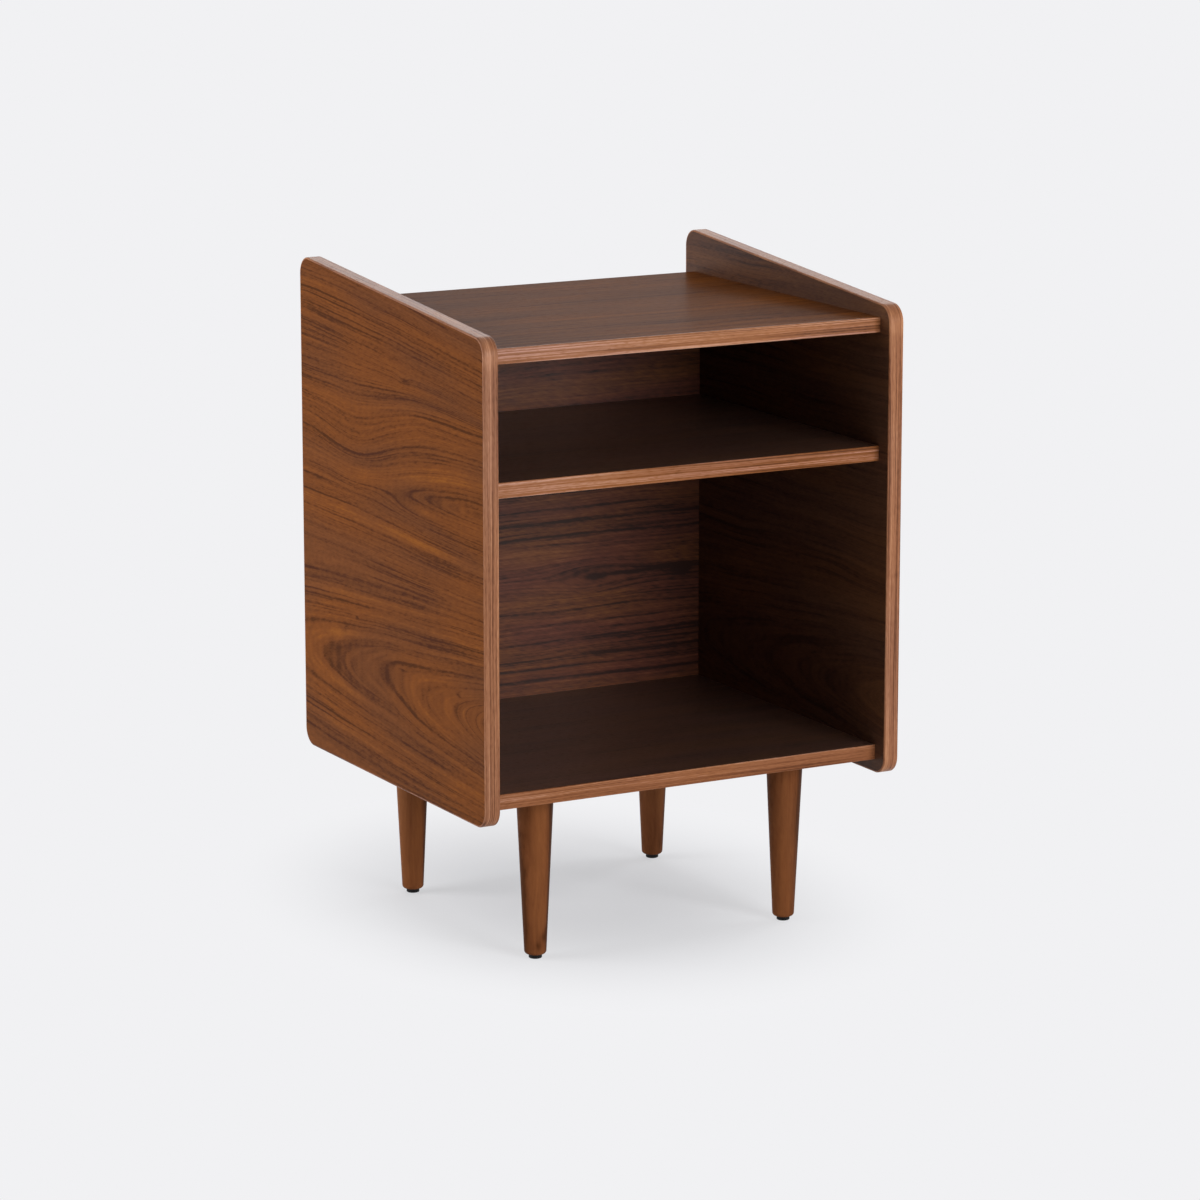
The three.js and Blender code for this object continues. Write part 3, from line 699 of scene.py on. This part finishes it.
def gritMaterial(name, look, grit):
    # moulded, cast or plated: one colour with a fine grit in its gloss
    material, tree = newMaterial(name)
    place = addNode(tree, "TexCoord").outputs["Object"]
    speck = addNode(tree, "TexNoise", {"Vector": place, "Scale": 1 / (grit["size"] * mm), "Detail": 2.0})
    smoothest, roughest = look["roughness"] - grit["spread"], look["roughness"] + grit["spread"]
    rough = addNode(tree, "MapRange", {"Value": speck, "To Min": smoothest, "To Max": roughest})
    bump = addNode(tree, "Bump", {
        "Height": speck, "Strength": grit["bump"], "Distance": grit["relief"] * mm,
    })
    shader = addNode(tree, "BsdfPrincipled", {
        "Base Color": hexColour(look["colour"]), "Roughness": rough, "Metallic": look["metallic"],
        "Specular IOR Level": look["gloss"], "Normal": bump,
    })
    addNode(tree, "OutputMaterial", {0: shader})
    return material


fittingMaterials = {name: gritMaterial(name, look, fittingGrit) for name, look in fittingLooks.items()}
print("materials made")


def addPiece(name, mesh, material, node):
    mesh.materials.append(material)
    piece = bpy.data.objects.new(name, mesh)
    bpy.context.scene.collection.objects.link(piece)
    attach(piece, "root")
    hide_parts(node)


sharpAngle = 32  # degrees between two faces, from which the edge between them stays sharp


def meshOf(name, points, faces):
    mesh = bpy.data.meshes.new(name)
    mesh.from_pydata(points, [], faces)
    mesh.shade_smooth()
    mesh.set_sharp_from_angle(angle=math.radians(sharpAngle))
    return mesh


def arcPoints(centreA, centreB, radius, start, end, steps):
    # start and end are in degrees
    angles = [math.radians(start + (end - start) * i / steps) for i in range(steps + 1)]
    return [(centreA + radius * math.cos(a), centreB + radius * math.sin(a)) for a in angles]


def ringFaces(count, size):
    # quads between rings of points, closed both ways
    faces = []
    for i in range(count):
        here, there = i * size, (i + 1) % count * size
        faces += [(here + j, here + (j + 1) % size, there + (j + 1) % size, there + j) for j in range(size)]
    return faces


# Side edge bands: a strip of veneer edging wrapped round each side, in millimetres
sideBand = {
    "thickness": 2.0,
    "arris": 1.6,        # rounding of both long edges
    "corner": 20.0,      # radius at the four corners of a side
    "riseFront": 13.5,   # of the top edge above the top panel
    "riseRear": 51.0,
    "cornerSteps": 28,
    "arrisSteps": 7,
}


def sideOutline(low, high, topZ, values):
    # points round the side and the way out at each, with an arc at every corner
    radius = values["corner"] * mm
    corners = [(low.y, low.z), (high.y, low.z), (high.y, topZ + values["riseRear"] * mm),
               (low.y, topZ + values["riseFront"] * mm)]
    places = []
    for i, corner in enumerate(corners):
        here = Vector(corner)
        arriving = (here - Vector(corners[i - 1])).normalized()
        leaving = (Vector(corners[(i + 1) % len(corners)]) - here).normalized()
        inward = Vector((-arriving.y, arriving.x))
        turn = math.acos(arriving.dot(leaving))
        centre = here - arriving * radius * math.tan(turn / 2) + inward * radius
        start = math.atan2(-inward.y, -inward.x)
        for step in range(values["cornerSteps"] + 1):
            angle = start + turn * step / values["cornerSteps"]
            normal = Vector((math.cos(angle), math.sin(angle)))
            places.append((centre + normal * radius, normal))
    return places


def addSideBand(hand, values):
    node = f"side_edge_band_{hand}"
    low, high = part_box(node)
    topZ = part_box("top_panel")[1].z
    arris = values["arris"] * mm
    thick = values["thickness"] * mm
    steps = values["arrisSteps"]
    section = [(thick, high.x)]
    section += [(inset, x) for x, inset in arcPoints(high.x - arris, arris, arris, 0, -90, steps)]
    section += [(inset, x) for x, inset in arcPoints(low.x + arris, arris, arris, -90, -180, steps)]
    section += [(thick, low.x)]
    outline = sideOutline(low, high, topZ, values)
    points = []
    for place, normal in outline:
        for inset, x in section:
            at = place - normal * inset
            points.append((x, at.x, min(at.y, high.z)))
    mesh = meshOf(node + "_fine", points, ringFaces(len(outline), len(section)))
    addPiece(f"edging_side_{hand}", mesh, sideBandWood, node)


for hand in hands:
    addSideBand(hand, sideBand)

# Panel edge bands: a straight strip on the front of each panel, in millimetres
panelBand = {"arris": 0.8, "arrisSteps": 7}


def addPanelBand(name, node, values):
    low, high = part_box(node)
    arris = values["arris"] * mm
    steps = values["arrisSteps"]
    section = [(high.y, high.z)]
    section += arcPoints(low.y + arris, high.z - arris, arris, 90, 180, steps)
    section += arcPoints(low.y + arris, low.z + arris, arris, 180, 270, steps)
    section += [(high.y, low.z)]
    size = len(section)
    points = [(x, y, z) for x in (low.x, high.x) for y, z in section]
    faces = [(j, (j + 1) % size, size + (j + 1) % size, size + j) for j in range(size)]
    faces += [tuple(reversed(range(size))), tuple(range(size, 2 * size))]
    mesh = meshOf(node + "_fine", points, faces)
    addPiece(f"edging_{name}", mesh, panelBandWoods[name], node)


for name, node in panelNodes.items():
    addPanelBand(name, node + "_edge_band", panelBand)
print("edgings laid")


def turnedMesh(name, profile, sides):
    # the profile is pairs of radius and height, from the axis round to the axis
    rings = [(radius, height) for radius, height in profile if radius > 0]
    angles = [2 * math.pi * k / sides for k in range(sides)]
    points = [(radius * math.cos(angle), radius * math.sin(angle), height)
              for radius, height in rings for angle in angles]
    faces = []
    for i in range(len(rings) - 1):
        low, high = i * sides, (i + 1) * sides
        faces += [(low + k, low + (k + 1) % sides, high + (k + 1) % sides, high + k) for k in range(sides)]
    for ring, height in ((0, profile[0][1]), (len(rings) - 1, profile[-1][1])):
        # a fan of triangles closes each end
        tip = len(points)
        points.append((0, 0, height))
        for k in range(sides):
            edge = (ring * sides + k, ring * sides + (k + 1) % sides)
            faces.append((tip, *edge) if ring else (tip, *reversed(edge)))
    return meshOf(name, points, faces)


# Legs and glides: turned, with a straight taper and a rounded foot, in millimetres
leg = {
    "footRadius": 12.4,
    "footRounding": 4.2,
    "topChamfer": 0.3,
    "chamferFootShare": 0.2,  # of the chamfer, by which its lower edge stands in from the node's box
    "roundingSteps": 10,
    "sides": 96,
}
glide = {"edge": 1.0, "edgeSteps": 6, "sides": 64}


def addLeg(end, values):
    node = f"leg_{end}"
    low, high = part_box(node)
    radius = (high.x - low.x) / 2
    foot = values["footRadius"] * mm
    rounding = values["footRounding"] * mm
    chamfer = values["topChamfer"] * mm
    profile = [(0, low.z)]
    profile += arcPoints(foot - rounding, low.z + rounding, rounding, -90, 0, values["roundingSteps"])
    chamferFoot = radius - chamfer * values["chamferFootShare"]
    profile += [(chamferFoot, high.z - chamfer), (radius - chamfer, high.z), (0, high.z)]
    mesh = turnedMesh(node + "_fine", profile, values["sides"])
    mesh.transform(Matrix.Translation(((low.x + high.x) / 2, (low.y + high.y) / 2, 0)))
    addPiece(f"turned_leg_{end}", mesh, legWoodWithPaintedShade, node)


def addGlide(end, values):
    node = f"glide_{end}"
    low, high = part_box(node)
    radius = (high.x - low.x) / 2
    edge = values["edge"] * mm
    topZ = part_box(f"leg_{end}")[0].z
    profile = [(0, low.z)]
    profile += arcPoints(radius - edge, low.z + edge, edge, -90, 0, values["edgeSteps"])
    profile += [(radius, topZ), (0, topZ)]
    mesh = turnedMesh(node + "_fine", profile, values["sides"])
    mesh.transform(Matrix.Translation(((low.x + high.x) / 2, (low.y + high.y) / 2, 0)))
    addPiece(f"floor_glide_{end}", mesh, fittingMaterials["mouldedBlackNylon"], node)


for row in rows:
    for hand in hands:
        addLeg(f"{row}_{hand}", leg)
        addGlide(f"{row}_{hand}", glide)
print("legs turned")

# The frame's own boards and fittings keep their shapes and take their finishes
finishes = {
    # the start of a node's name, and its finish
    "side_panel_left": sideVeneers["left"],
    "side_panel_right": sideVeneers["right"],
    "bottom_panel": shadedShelfVeneer,
    "middle_shelf": shadedShelfVeneer,
    "top_panel": boardVeneer,
    "back_panel": backVeneer,
    "cam_lock": fittingMaterials["nickelPlatedZinc"],
    "leg_insert": fittingMaterials["nickelPlatedZinc"],
    "cam_bolt": fittingMaterials["zincPlatedSteel"],
    "back_screw": fittingMaterials["zincPlatedSteel"],
    "hanger_bolt": fittingMaterials["zincPlatedSteel"],
    "dowel": fittingMaterials["bareBeech"],
}
for name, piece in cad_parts.items():
    if piece.hide_render:
        continue  # an edging, leg or glide above stands for it
    start = next(key for key in finishes if name.startswith(key))
    piece.data.materials.clear()
    piece.data.materials.append(finishes[start])

# The inner face of each side, darker as painted shade, and the rear faces of the back and top panels have
# leaves of their own
leaves = [
    # board, the way that the face looks, its veneer
    ("side_panel_left", (1, 0, 0), shadedInnerVeneer),
    ("side_panel_right", (-1, 0, 0), shadedInnerVeneer),
    ("back_panel", (0, 1, 0), rearVeneer),
    ("top_panel", (0, 1, 0), rearVeneer),
]
facingLimit = 0.9  # cosine, so that the edges and bores keep the first veneer
for name, way, leaf in leaves:
    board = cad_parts[name].data
    board.materials.append(leaf)
    for face in board.polygons:
        face.material_index = int(face.normal.dot(Vector(way)) > facingLimit)
print("boards finished")
